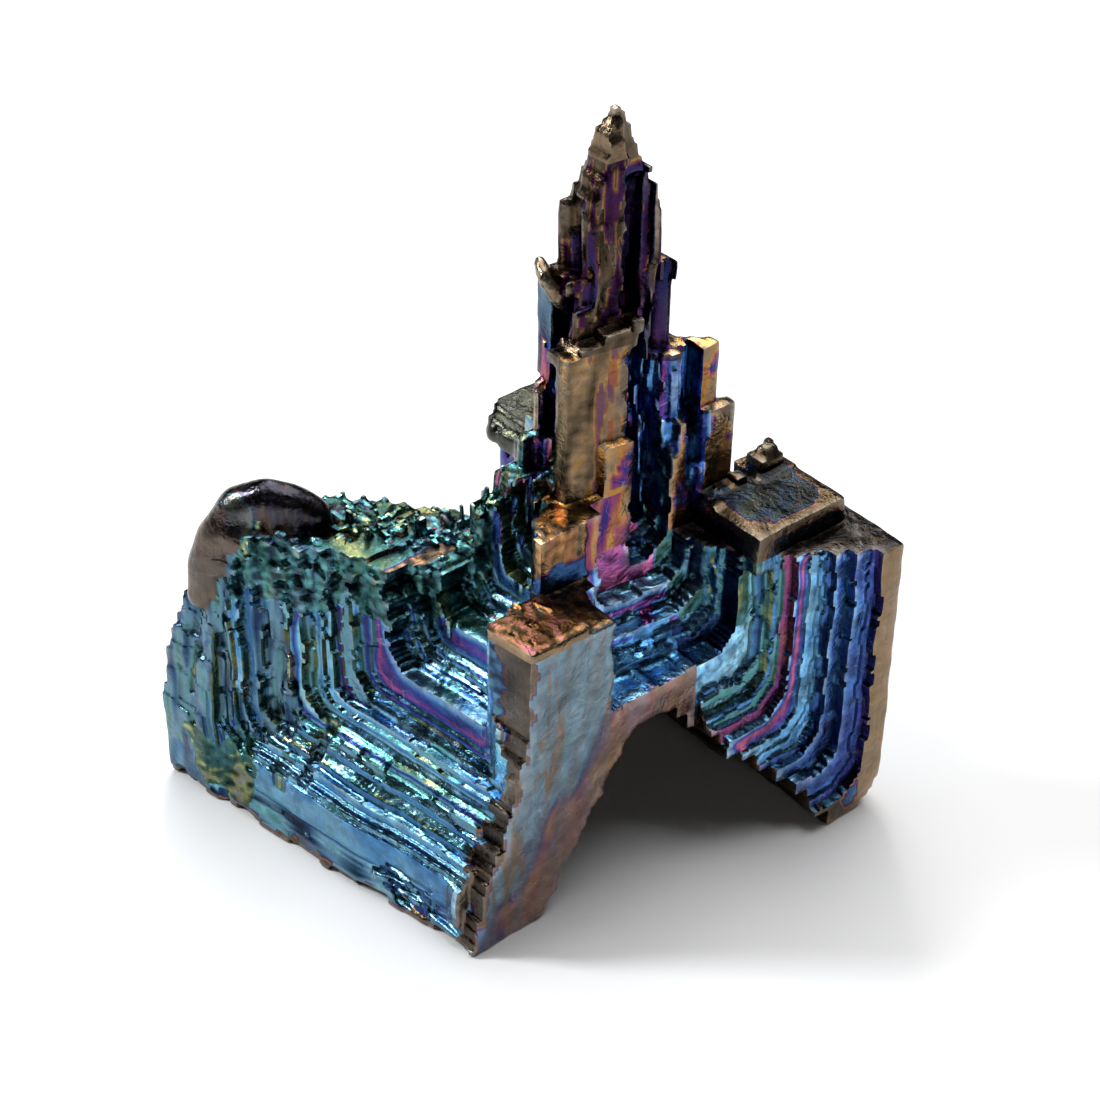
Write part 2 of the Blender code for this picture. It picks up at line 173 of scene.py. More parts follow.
# Camera: angle above the floor, turn and roll in degrees, place in metres, focal length in the photo's pixels.
CAMERA_ANGLES = (36.7, -40.7, 1.07)
CAMERA_PLACE = Vector((-0.07806, -0.09299, 0.10867))
FOCAL_PIXELS, PHOTO_PIXELS, SENSOR_MM = 2600, 1100, 36.0

# What a face belongs to. Its level tells apart the ledges of a recess, the posts and the kinds of crust.
OUTSIDE, LEFT, RIGHT, BACK, UNDER, TOWER, CRUST, ROUND, FRONT, GROOVE = range(10)
LEFT_POST, BROW_LEVEL, RIGHT_POST, SPIRE_LEVEL, SCRATCH = 4, 9, 10, 12, 15
RUBBLE, SPECKS, CAP_LEVEL, BEAK_LEVEL = 1, 2, 3, 4
RIGHT_CRACKS, LEFT_CRACKS = 5, 40

chance = random.Random(SEED)
noise.seed_set(SEED)


def blend(start, end, share):
    return start + (end - start) * share


def column(rows, number):
    return [row[number] for row in rows]


def along(rows, depth, number):
    """Value in a column of a table at a depth between its rows."""
    return float(np.interp(depth, column(rows, 0), column(rows, number)))


def depth_of(rows, number, value, sign=1):
    """Depth at which a column of a table has a value. The sign is -1 for a column that falls."""
    return float(np.interp(sign * value, [sign * v for v in column(rows, number)], column(rows, 0)))


def draws(*ranges):
    """A random value from each range, in turn."""
    return [chance.uniform(*ends) for ends in ranges]


def uneven(count, amount):
    """Shares from 0 to 1, unevenly spaced."""
    middle = [(step + chance.uniform(-1, 1) * amount) / (count - 1) for step in range(1, count - 1)]
    return [0.0] + middle + [1.0]


def wavy(size, length):
    """A smooth random function of one coordinate, about size high, with waves of about length."""
    waves = []
    for octave in (1.0, 2.3, 4.1):
        rate = math.tau * octave / length * chance.uniform(0.7, 1.3)
        waves.append((size / octave ** 0.7, rate, chance.uniform(0, math.tau)))
    return lambda t: sum(height * np.sin(rate * t + turn) for height, rate, turn in waves)


class Growth:
    """A solid made of the cells between growth planes, with what each filled and each empty cell belongs to."""

    def __init__(self, planes):
        self.planes = planes
        self.mid = [(p[1:] + p[:-1]) / 2 for p in planes]
        shape = tuple(len(m) for m in self.mid)
        self.solid = np.zeros(shape, bool)
        self.kind = np.zeros(shape, np.int16)
        self.level = np.zeros(shape, np.int16)

    def span(self, box):
        return tuple(slice(*np.searchsorted(self.mid[axis], box[2 * axis:2 * axis + 2])) for axis in range(3))

    def add(self, box, kind, level=0):
        part = self.span(box)
        new = ~self.solid[part]
        self.kind[part][new] = kind
        self.level[part][new] = level
        self.solid[part] = True

    def cut(self, box, kind, level=0, where=None):
        """Empty a box, or those cells of it that a mask over the box keeps."""
        part = self.span(box)
        gone = self.solid[part].copy()
        if where is not None:
            gone &= where(*self.grid(part))
        self.kind[part][gone] = kind
        self.level[part][gone] = level
        self.solid[part] &= ~gone

    def grid(self, part):
        """Middles of a part's cells along each axis, shaped so that they combine over the whole part."""
        return np.meshgrid(*(m[p] for m, p in zip(self.mid, part)), indexing="ij", sparse=True)

    def add_round(self, balls):
        """Fill every cell whose middle lies in one of the balls."""
        for x, y, z, radius in balls:
            part = self.span((x - radius, x + radius, y - radius, y + radius, z - radius, z + radius))
            gx, gy, gz = self.grid(part)
            new = ((gx - x) ** 2 + (gy - y) ** 2 + (gz - z) ** 2 < radius ** 2) & ~self.solid[part]
            self.kind[part][new] = ROUND
            self.solid[part] |= new

    def mend(self):
        """Fill a cell wherever two filled cells touch along an edge only."""
        s = self.solid
        for _ in range(MEND_ROUNDS):
            found = 0
            for a, b in ((0, 1), (0, 2), (1, 2)):
                v = np.moveaxis(s, (a, b), (0, 1))
                p, q, r, t = v[:-1, :-1], v[1:, :-1], v[:-1, 1:], v[1:, 1:]
                one = p & t & ~q & ~r
                q |= one
                two = q & r & ~p & ~t
                p |= two
                found += int(one.sum() + two.sum())
            if not found:
                break


def growth_planes(axis, values, low, high):
    """Sorted planes through the values, thinned where they crowd and added where they are far apart."""
    wanted = sorted(v for v in set(values) if low < v < high)
    kept = [low]
    for value in wanted:
        if value - kept[-1] >= PLANE_NEAR and high - value >= PLANE_NEAR:
            kept.append(value)
    kept.append(high)
    out = [kept[0]]
    for value in kept[1:]:
        parts = max(1, math.ceil((value - out[-1]) / PLANE_FAR[axis]))
        start = out[-1]
        out += [start + (value - start) * (k + 1) / parts for k in range(parts)]
    return np.array(out)


def fine(low, high, count):
    """Unevenly spaced values between two ends, the first end left out."""
    return [blend(low, high, share) for share in uneven(count + 1, 0.4)[1:]]


def spread(table):
    """The values of a table, with each of its bands as fine steps."""
    out = []
    for item in table:
        out += fine(*item) if isinstance(item, tuple) else [item]
    return out


def left_steps():
    """Depth of each ledge of the left recess: broad faces with bands of fine lines between them."""
    return [depth_of(LEFT_RECESS, 2, z) for z in spread(LEFT_FLOORS)]


def right_steps():
    """Depth of each ledge of the right recess."""
    depths = [depth_of(RIGHT_RECESS, 1, x, -1) for x in spread(RIGHT_ENDS)]
    return depths + [depth_of(RIGHT_RECESS, 2, z) for z in spread(RIGHT_FLOORS)]


def cut_left_recess(growth, steps):
    for level, depth in enumerate(steps):
        near = along(LEFT_NEAR, depth, 1) + chance.uniform(-0.3, 0.3) * (depth < 2)
        far = along(LEFT_RECESS, depth, 1) + chance.uniform(-0.45, 0.45)
        floor = along(LEFT_RECESS, depth, 2) + chance.uniform(-0.12, 0.12)
        rim, wall, ledge = (wavy(*wave) for wave in LEFT_WAVES)
        corner = chance.uniform(0.5, 1.3)

        def where(x, y, z):
            ragged = 1.0 + 3.5 * np.clip((z - 13.0) / 5.0, 0, 1)
            inside = (y > near + rim(z)) & (y < far + wall(z) * ragged) & (z > floor + ledge(y))
            return inside & ((far - y) + 0.8 * (z - floor) > corner)

        growth.cut((-FAR, depth, near - 1, far + 2, floor - 1, FAR), LEFT, level, where)


def cut_left_foot(growth):
    """Shallow terraces low on the left side, and its ragged lower edge."""
    for level, (low, depth) in enumerate(FOOT_TERRACES):
        edge = wavy(*FOOT_WAVE)

        def where(x, y, z):
            return z > low + edge(y)

        growth.cut((LEFT_X, LEFT_X + depth, 0.5 + depth, 21.3 - 1.5 * depth, low, FAR), LEFT, level, where)
    scatter(growth, 0, 34, ((0.6, 7.0), (0.3, 2.4), (0.8, 3.0), (0.12, 0.4), (0.1, 0.25)), LEFT, 20)
    for _ in range(26):
        y, width, top, depth = draws((0.0, 24.0), (0.6, 3.0), (0.3, 0.9), (0.1, 0.3))
        peel(growth, 0, (y, y + width), 0.0, top, depth, OUTSIDE, 0)


def cut_right_recess(growth, steps):
    for level, depth in enumerate(steps):
        near = along(RIGHT_NEAR, depth, 1)
        far = along(RIGHT_RECESS, depth, 1) + chance.uniform(-0.2, 0.2)
        floor = along(RIGHT_RECESS, depth, 2) + chance.uniform(-0.25, 0.25)
        rim, wall, ledge = (wavy(*wave) for wave in RIGHT_WAVES)
        corner, inner = draws((0.9, 1.5), (0.0, 0.8))

        def where(x, y, z):
            inside = (x > near + rim(z)) & (x < far + wall(z)) & (z > floor + ledge(x))
            return inside & ((far - x) + (z - floor) > corner) & ((x - near) + (z - floor) > inner)

        growth.cut((near - 1, far + 1, -FAR, depth, floor - 1, FAR), RIGHT, level, where)


def cut_back_arm(growth):
    """The lower top of the back arm, and the stepped block that is its tip."""
    growth.cut((20.0, FAR, 13.0, FAR, BACK_ARM_TOP, FAR), BACK)
    growth.cut((12.0, 22.2, 21.0, FAR, 2.5, 14.4), BACK)
    for share in np.linspace(0, 1, 6):
        x = blend(19.8, 21.9, share)
        growth.cut((12.0, x, 20.4, FAR, blend(16.2, 16.9, share), FAR), BACK)
        growth.cut((12.0, x, 20.8, FAR, 2.5, blend(15.6, 14.5, share)), BACK)
        growth.cut((12.0, x, blend(23.2, 24.5, share), FAR, 14.0, FAR), BACK)


def cut_back_recesses(growth):
    """The stepped hollows of both back sides, from their outer edges to the tower."""
    for level, share in enumerate(uneven(20, 0.35)):
        wave = wavy(*BACK_WAVE)
        corner = chance.uniform(0.4, 1.4)
        floor, near, far = blend(2.5, 21.0, share), blend(2.2, 6.8, share), blend(21.0, 9.0, share)

        def right_side(x, y, z):
            return (z > floor + wave(y)) & (far - y + z - floor > corner) & (y - near + z - floor > corner)

        growth.cut((blend(27.6, 20.5, share), FAR, near, far, floor - 1, FAR), BACK, level, right_side)
        y0 = blend(24.0, 10.2, share)
        x0, x1 = 23.0 - y0, blend(20.6, 18.5, share)

        def left_side(x, y, z):
            return (z > floor + wave(x)) & (x1 - x + z - floor > corner) & (x - x0 + z - floor > corner)

        growth.cut((x0, x1, y0, FAR, floor - 1, FAR), BACK, level + 1, left_side)


def cut_underside(growth):
    """The stepped arch, and the worn corner at the foot of the right arm."""
    for level, share in enumerate(uneven(24, 0.45)):
        top = blend(0.8, 11.0, share) + chance.uniform(-0.25, 0.25) * (0 < share < 1)
        x0, x1 = blend(3.4, 12.4, share), blend(24.0, 14.6, math.floor(9 * share) / 9)
        growth.cut((x0, x1, -FAR, blend(20.0, 9.5, share), -FAR, top), UNDER, level)

    def worn(x, y, z):
        return ((x - WORN_X) / WORN_RADIUS) ** 2 + ((WORN_RADIUS - z) / WORN_RADIUS) ** 2 > 1

    growth.cut((WORN_X, FAR, -FAR, -2.4, -FAR, WORN_RADIUS), OUTSIDE, 0, worn)


def peel(growth, axis, strip, low, high, depth, kind, level):
    """Cut a shallow groove into whatever faces the low side of an axis, within a strip and a height."""
    other = 1 - axis
    spans = [slice(None)] * 3
    spans[other] = slice(*np.searchsorted(growth.mid[other], strip))
    spans[2] = slice(*np.searchsorted(growth.mid[2], (low, high)))
    part = np.moveaxis(growth.solid[tuple(spans)], axis, 0)
    if 0 in part.shape:
        return
    first = part.argmax(axis=0)
    last = part.shape[0] - part[::-1].argmax(axis=0)
    limit = np.minimum(growth.planes[axis][first] + depth, growth.planes[axis][last] - PEEL_LEFT)
    gone = (growth.mid[axis][:, None, None] < limit[None]) & part
    np.moveaxis(growth.kind[tuple(spans)], axis, 0)[gone] = kind
    np.moveaxis(growth.level[tuple(spans)], axis, 0)[gone] = level
    part &= ~gone


def scatter(growth, axis, count, ranges, kind, level, apart=0):
    """Cut grooves whose place, low end, width, height and depth are random, each within its range."""
    for number in range(count):
        start, low, width, height, depth = draws(*ranges)
        peel(growth, axis, (start, start + width), low, low + height, depth, kind, level + apart * number)


def crumb(growth, x, y, size, height, level):
    """Stand a small crystal on whatever surface is highest at a place."""
    i, j = np.searchsorted(growth.planes[0], x) - 1, np.searchsorted(growth.planes[1], y) - 1
    if not (0 <= i < growth.solid.shape[0] and 0 <= j < growth.solid.shape[1]):
        return
    filled = np.nonzero(growth.solid[i, j])[0]
    if len(filled):
        top = growth.planes[2][filled[-1] + 1]
        growth.add((x - size, x + size, y - size, y + size, top - 0.8, top + height), CRUST, level)


def crystal_planes(left, right):
    """Growth planes along each axis, through the sides that the tables name and the ledges."""
    xs = left + [along(rows, depth, 1) for rows in (RIGHT_RECESS, RIGHT_NEAR) for depth in right]
    xs += column(LEFT_ARM + LEFT_POSTS + SPIRE + FRONT_POSTS + RIGHT_POSTS, 0) + column(FRONT_EDGE + SPIRE, 1)
    xs += [0.0, FRONT_END, 17.0, 20.2, 27.2, 15.1] + list(np.arange(-4.18, -2.4, 0.12))
    ys = right + [along(LEFT_RECESS, depth, 1) for depth in left] + [0.0, -1.1, 4.2, 7.3, 8.2]
    ys += column(LEFT_ARM + LEFT_POSTS + FRONT_POSTS, 1) + column(SPIRE, 2) + column(SPIRE + FRONT_POSTS, 3)
    zs = [along(LEFT_RECESS, depth, 2) for depth in left] + [along(RIGHT_RECESS, depth, 2) for depth in right]
    zs += column(LEFT_ARM + LEFT_POSTS + RIGHT_POSTS, 2) + column(FRONT_POSTS + SPIRE, 4)
    zs += column(FRONT_EDGE, 0) + [ARM_TOP, BACK_ARM_TOP, 21.3, 18.7]
    return [
        growth_planes(0, xs, LEFT_X, RIGHT_X),
        growth_planes(1, ys, RIGHT_Y, BACK_Y),
        growth_planes(2, zs, 0.0, SPIRE[-1][4]),
    ]


def add_body(growth):
    """The blocks that the recesses are cut from, and the left arm, which leans in upwards."""
    growth.add((0.0, RIGHT_X, 0.0, BACK_Y, 0.0, ARM_TOP), OUTSIDE)
    growth.add((LEFT_X, 9.0, 0.0, 20.5, 0.0, 11.5), OUTSIDE)
    growth.add((17.0, RIGHT_X, RIGHT_Y, 12.0, 0.0, ARM_TOP), OUTSIDE)
    for top in np.arange(LEFT_ARM[0][2], LEFT_ARM[-1][2] + 0.01, ARM_STEP):
        x0, y1 = (np.interp(top, column(LEFT_ARM, 2), column(LEFT_ARM, number)) for number in (0, 1))
        growth.add((x0, 9.0, 13.0, y1, 0.0, top), OUTSIDE)


def add_tower(growth):
    for level, (x0, y0, x1, y1, top) in enumerate(FRONT_POSTS):
        growth.add((x0, x1, y0, y1, 0.0, top), TOWER, level)
    for level, (x0, y1, top) in enumerate(LEFT_POSTS, LEFT_POST):
        growth.add((x0, 16.0, 7.0, y1, 0.0, top), TOWER, level)
    for level, (x1, y0, top) in enumerate(RIGHT_POSTS, RIGHT_POST):
        growth.add((14.0, x1, y0, 9.5, 0.0, top), TOWER, level)
    for top in SPIRE_TOPS:
        sides = [np.interp(top, column(SPIRE, 4), column(SPIRE, number)) for number in range(4)]
        growth.add((*sides, 0.0, top), TOWER, SPIRE_LEVEL)


def cut_front(growth):
    """The slanting edge of the front ridge, and its flat side towards the right arm."""
    for height in np.arange(0.7, FRONT_TOP, FRONT_STEP):
        x = along(FRONT_EDGE, height, 1) + chance.uniform(-0.3, 0.3)
        growth.cut((-FAR, x, -FAR, along(LEFT_NEAR, x, 1) + 0.2, height, FAR), FRONT)
    growth.cut((-FAR, FRONT_END, -FAR, 0.0, -FAR, FAR), FRONT)


def cut_grooves(growth):
    """Upright grooves of the tower and the left arm, and scratches near the top of the spire."""
    for axis, table in enumerate((LEFT_GROOVES, RIGHT_GROOVES)):
        for start, end, low, high, depth in table:
            peel(growth, axis, (start, end), low, high, depth, GROOVE, axis + 1)
    scatter(growth, 0, 22, ((13.5, 24.0), (3.0, 12.0), (0.3, 1.2), (2, 8), (0.12, 0.3)), OUTSIDE, 0)
    wide = (0.25, 0.6)
    scatter(growth, 1, 34, ((16.2, 20.8), (19.5, 30.0), wide, (4, 14), (0.15, 0.6)), GROOVE, RIGHT_CRACKS, 1)
    for _ in range(24):
        x, low, width, height, depth = draws((14.0, 18.5), (34.0, 39.0), (0.25, 0.5), (1, 4), (0.1, 0.2))
        peel(growth, 1, (x, x + width), low, low + height, depth, TOWER, SCRATCH)
        y, width, height, depth = draws((6.2, 9.8), wide, (1, 4), (0.1, 0.2))
        peel(growth, 0, (y, y + width), low, low + height, depth, TOWER, SCRATCH)
    scatter(growth, 0, 20, ((7.0, 10.0), (19.5, 32.0), wide, (2, 6), (0.15, 0.4)), GROOVE, LEFT_CRACKS, 1)


def add_crust(growth):
    """The cap, the beak and the post under the brow."""
    for box in CAP:
        growth.add(box, CRUST, CAP_LEVEL)
    x0, x1, y0, y1, low, high = BEAK
    for top in np.arange(low, high, BEAK_STEP):
        start = x0 + max(0.0, top - BEAK_TAPER_FROM) * BEAK_TAPER
        end = min(x1, x1 - 1.0 + (top - low) * BEAK_REACH)
        growth.add((start, end, y0, y1, top, top + 0.22), CRUST, BEAK_LEVEL)
    growth.add(BROW_POST, TOWER, BROW_LEVEL)


def add_crumbs(growth):
    """The rubble of small crystals behind the lip, and a few on the flat tops."""
    for _ in range(CRUMBS):
        share = chance.random()
        x, y = (blend(start, end, share) + chance.gauss(0, CRUMB_SPREAD) for start, end in zip(*CRUMB_LINE))
        crumb(growth, x, y, *draws((0.10, 0.26), (0.05, 0.35)), RUBBLE)
    for x0, x1, y0, y1, count in CRUMB_FIELDS:
        for _ in range(count):
            crumb(growth, *draws((x0, x1), (y0, y1), (0.12, 0.35), (0.05, 0.25)), SPECKS)


def grow():
    """The whole crystal as cells, and the balls of its rounded growth."""
    left, right = left_steps(), right_steps()
    growth = Growth(crystal_planes(left, right))
    add_body(growth)
    add_tower(growth)
    cut_front(growth)
    cut_left_foot(growth)
    cut_left_recess(growth, left)
    cut_right_recess(growth, right)
    cut_back_arm(growth)
    cut_back_recesses(growth)
    cut_grooves(growth)
    add_crust(growth)
    cut_underside(growth)
    add_crumbs(growth)
    balls = round_balls()
    growth.add_round(balls)
    growth.mend()
    return growth, balls


def round_balls():
    """The lumps, and closely set balls along the lip and the brow."""
    balls = list(LUMPS)
    for table in (LIP, BROW):
        shares = np.linspace(0, len(table) - 1, BALLS_A_LINE)
        balls += zip(*(np.interp(shares, range(len(table)), column(table, number)) for number in range(4)))
    return balls


def skin(growth):
    """Corners, faces and what they belong to, of the boundary between filled and empty cells."""
    solid = np.pad(growth.solid, 1)
    kind, level = np.pad(growth.kind, 1), np.pad(growth.level, 1)
    corners, facts, units = [], [], np.eye(3, dtype=int)
    for axis in range(3):
        ahead, behind = [slice(None)] * 3, [slice(None)] * 3
        ahead[axis], behind[axis] = slice(1, None), slice(None, -1)
        ahead, behind = tuple(ahead), tuple(behind)
        for sign, full, empty in ((-1, ahead, behind), (1, behind, ahead)):
            at = np.array(np.nonzero(solid[full] & ~solid[empty])).T
            own, other = (tuple((at + units[axis] * beyond).T) for beyond in (sign < 0, sign > 0))
            cut = kind[other] > 0
            facts.append(np.column_stack([
                np.where(cut, kind[other], kind[own]), np.where(cut, level[other], level[own]),
                np.full(len(at), axis), np.full(len(at), sign),
            ]))
            low, u, v = at - 1 + units[axis], units[axis - 2], units[axis - 1]
            quad = np.stack([low, low + u, low + u + v, low + v], axis=1)
            corners.append(quad if sign > 0 else quad[:, ::-1])
    quads, facts = np.concatenate(corners), np.concatenate(facts)
    sizes = [len(p) for p in growth.planes]
    keys = np.ravel_multi_index(tuple(np.moveaxis(quads, -1, 0)), sizes)
    unique, faces = np.unique(keys, return_inverse=True)
    index = np.column_stack(np.unravel_index(unique, sizes))
    verts = np.column_stack([growth.planes[a][index[:, a]] for a in range(3)])
    return verts, index, faces.reshape(-1, 4), facts


def fullness(growth, verts, radius, pitch=0.2):
    """Share of solid around each corner, within about the radius."""
    lines = [np.arange(p[0] - 3 * radius, p[-1] + 3 * radius, pitch) for p in growth.planes]
    picks = [np.searchsorted(p, line) for p, line in zip(growth.planes, lines)]
    field = np.pad(growth.solid, 1)[np.ix_(*picks)].astype(np.float32)
    width = max(1, round(radius / pitch))
    for _ in range(2):
        for a in range(3):
            total = np.cumsum(field, axis=a)
            field = (np.roll(total, -width, a) - np.roll(total, width + 1, a)) / (2 * width + 1)
            field = np.clip(field, 0, 1)
    place = [(verts[:, a] - lines[a][0]) / pitch for a in range(3)]
    base = [np.floor(p).astype(int) for p in place]
    rest = [p - b for p, b in zip(place, base)]
    out = np.zeros(len(verts))
    for corner in range(8):
        bits = [(corner >> a) & 1 for a in range(3)]
        weight = np.prod([rest[a] if bits[a] else 1 - rest[a] for a in range(3)], axis=0)
        out += weight * field[tuple(base[a] + bits[a] for a in range(3))]
    return out


def rounded(growth, verts, index, balls):
    """Pull the corners that touch only rounded growth onto the surface of the balls."""
    solid, kind = np.pad(growth.solid, 1), np.pad(growth.kind, 1)
    only = np.ones(len(verts), bool)
    some = np.zeros(len(verts), bool)
    for corner in range(8):
        cell = tuple(index[:, a] + ((corner >> a) & 1) for a in range(3))
        only &= ~solid[cell] | (kind[cell] == ROUND)
        some |= solid[cell] & (kind[cell] == ROUND)
    chosen = np.nonzero(only & some)[0]
    centres, radii = np.array([b[:3] for b in balls]), np.array([b[3] for b in balls])
    away = verts[chosen][:, None] - centres[None]
    distance = np.linalg.norm(away, axis=2)
    best = (distance - radii).argmin(axis=1)
    row = np.arange(len(chosen))
    unit = away[row, best] / np.maximum(distance[row, best], 1e-6)[:, None]
    verts = verts.copy()
    verts[chosen] = centres[best] + unit * radii[best][:, None]
    return verts


def softened(verts, faces, rounds, share):
    """Pull each corner towards the middle of its neighbours, which rounds the edges of the growth."""
    sides = np.concatenate([faces[:, (a, (a + 1) % 4)] for a in range(4)])
    first, second = np.unique(np.sort(sides, axis=1), axis=0).T
    ends, others = np.concatenate([first, second]), np.concatenate([second, first])
    count = np.bincount(ends, minlength=len(verts))[:, None]
    for _ in range(rounds):
        total = np.column_stack([np.bincount(ends, verts[others, a], len(verts)) for a in range(3)])
        verts = blend(verts, total / count, share)
    return verts


def bent(verts):
    """Waves in the ledges, then the skew and the lean of the crystal, then metres about the middle."""
    moved = verts.copy()
    for number, place in enumerate(map(Vector, verts)):
        moved[number] += sum(size * np.array(noise.noise_vector(place / length)) for size, length in BEND_WAVES)
    moved[:, 2] = np.where(verts[:, 2] < 1.0, blend(verts[:, 2], moved[:, 2], verts[:, 2]), moved[:, 2])
    x, y = moved[:, 0].copy(), moved[:, 1].copy()
    moved[:, 0] += SKEW * (1 - y / BACK_Y) * np.clip((SKEW_DEPTH - x) / (SKEW_DEPTH - LEFT_X), 0, 1)
    lean = LEAN * np.clip((LEAN_FROM_X - x) / LEAN_OVER_X, 0, 1)
    moved[:, 1] += lean * np.clip(y / 1.5, 0, 1) * np.clip((9 - y) / 3, 0, 1)
    moved = (moved - MIDDLE) * METRES
    return np.clip(moved, np.array(CAD_LOW), np.array(CAD_HIGH))


# Film colours from thin to thick: brown, tan, gold, copper, magenta, violet, blue, steel, teal, green and grey.
COLOURS = (
    (0.00, (0.055, 0.036, 0.024)), (0.07, (0.15, 0.105, 0.065)), (0.13, (0.27, 0.18, 0.10)),
    (0.18, (0.45, 0.22, 0.05)), (0.24, (0.33, 0.12, 0.06)), (0.31, (0.24, 0.07, 0.09)),
    (0.38, (0.18, 0.04, 0.13)), (0.45, (0.07, 0.025, 0.15)), (0.52, (0.015, 0.025, 0.15)),
    (0.60, (0.025, 0.08, 0.25)), (0.70, (0.055, 0.18, 0.34)), (0.80, (0.14, 0.30, 0.41)),
    (0.87, (0.07, 0.24, 0.26)), (0.92, (0.05, 0.13, 0.10)), (0.96, (0.27, 0.31, 0.13)),
    (1.00, (0.17, 0.175, 0.19)),
)
GREY_FILM = (0.17, 0.165, 0.175, 1.0)
TAN_STREAK = (0.22, 0.145, 0.09, 1.0)
# Pale metal of the painted sheen on convex edges and of the veins.
SHEEN_AND_VEIN_METAL = (0.50, 0.50, 0.46, 1.0)

# Right recess: film thickness, its fall towards the middle, and tone of the strip at each level.
RIGHT_FILM = np.array((
    (0.56, 0.02, 1.1), (0.60, 0.04, 1.2), (0.54, 0.0, 0.9), (0.64, 0.08, 1.3), (0.58, 0.0, 1.0),
    (0.70, 0.04, 1.4), (0.75, 0.04, 1.3), (0.70, 0.38, 1.3), (0.38, 0.0, 0.9), (0.86, 0.0, 0.7),
    (0.68, 0.0, 1.1), (0.91, 0.0, 0.5), (0.86, 0.0, 0.8), (0.66, 0.0, 0.9), (0.79, 0.05, 1.6),
    (0.60, 0.0, 0.5), (0.78, 0.0, 1.3), (0.60, 0.0, 0.6), (0.70, 0.31, 1.5), (0.80, 0.0, 1.4),
    (0.66, 0.28, 1.4), (0.80, 0.0, 1.5), (0.40, 0.04, 1.4), (0.78, 0.0, 1.4), (0.60, 0.0, 0.9),
    (0.36, 0.0, 1.3), (0.72, 0.0, 1.4), (0.62, 0.0, 1.1), (0.74, 0.0, 1.3),
))
# Levels of the left recess whose broad faces turn magenta, and the last of its ledges above them.
LEFT_MAGENTA, LEFT_TOP = (19, 24), 29
# Tone bounds: under 1 it darkens, in places as the film's own tone and in places as painted shade; over 1 it
# paints glints.
TONE_RANGE = (0.1, 3.0)


def ripple(place, length):
    """Smooth random values of about -1 to 1 over space, with waves of about the length."""
    draw = np.random.default_rng(round(1000 * length))
    total = np.zeros(len(place))
    for _ in range(9):
        way = draw.normal(size=3)
        way = way / np.linalg.norm(way) * math.tau
        total += np.sin(place @ way / (length * draw.uniform(0.6, 1.6)) + draw.uniform(0, 7))
    return total / 3.0


class Film:
    """The oxide film at each corner of each face. Later paint covers earlier paint."""

    def __init__(self, facts, place, rim):
        self.kind, self.level, self.axis, self.sign = facts.T
        self.x, self.y, self.z = place.T
        self.place, self.rim = place, rim
        self.up = (self.axis == 2) & (self.sign > 0)
        self.cloud, self.grain = ripple(place, 2.5), ripple(place, 0.7)
        self.streak = ripple(place * (1, 1, 0.18), 1.1)
        self.draw = np.random.default_rng(SEED).uniform(-1, 1, (10, 64, 3, 4))[self.kind, self.level, self.axis].T
        self.at_rim = (rim < 0.43 + 0.02 * self.cloud) & (rim < 0.47)
        self.values = [np.zeros(len(place)) for _ in range(5)]

    def paint(self, where, film, fall, patchy, tone=1.0, dull=0.0):
        """Set thickness, its fall towards a broad face's middle, patchiness, tone and grey. None keeps one."""
        for values, value in zip(self.values, (film, fall, patchy, tone, dull)):
            if value is not None:
                values[where] = value[where] if isinstance(value, np.ndarray) else value


def paint_outside(f):
    """Outer faces of the arms: blue panels, brown rims, brown tops partly darkened as painted reflection, and the
    weathered left arm.
    """
    outside, up, x, y, z, grain = f.kind == OUTSIDE, f.up, f.x, f.y, f.z, f.grain
    f.paint(outside, np.where(f.at_rim, 0.10, 0.74 + 0.05 * f.cloud), 0.05, 0.35, 0.8)
    # Tops: dark, partly the crust's own brown and partly a painted dark reflection.
    f.paint(outside & up, 0.17 + 0.05 * grain, 0.0, 0.20, 0.35 + 0.3 * grain, 0.3)
    f.paint(outside & up & (x > 18), 0.08, 0.0, 0.20, 0.3 + 0.15 * grain, 0.6)
    f.paint(outside & (f.axis == 1) & (x > 26.5) & (y < 0), 0.12, 0.0, 0.12, 0.9)
    f.paint(outside & (y > 12) & up, 0.92, 0.0, 0.25, 0.5)
    f.paint(outside & (x < 0) & (y > 11), 0.76 + 0.10 * f.streak, 0.0, 0.30, 0.62 + 0.2 * f.streak, 0.15)
    f.paint(outside & (x < -2) & (z < 3), 0.72 + 0.08 * f.cloud, 0.0, 0.25, 0.65 + 0.2 * f.streak)


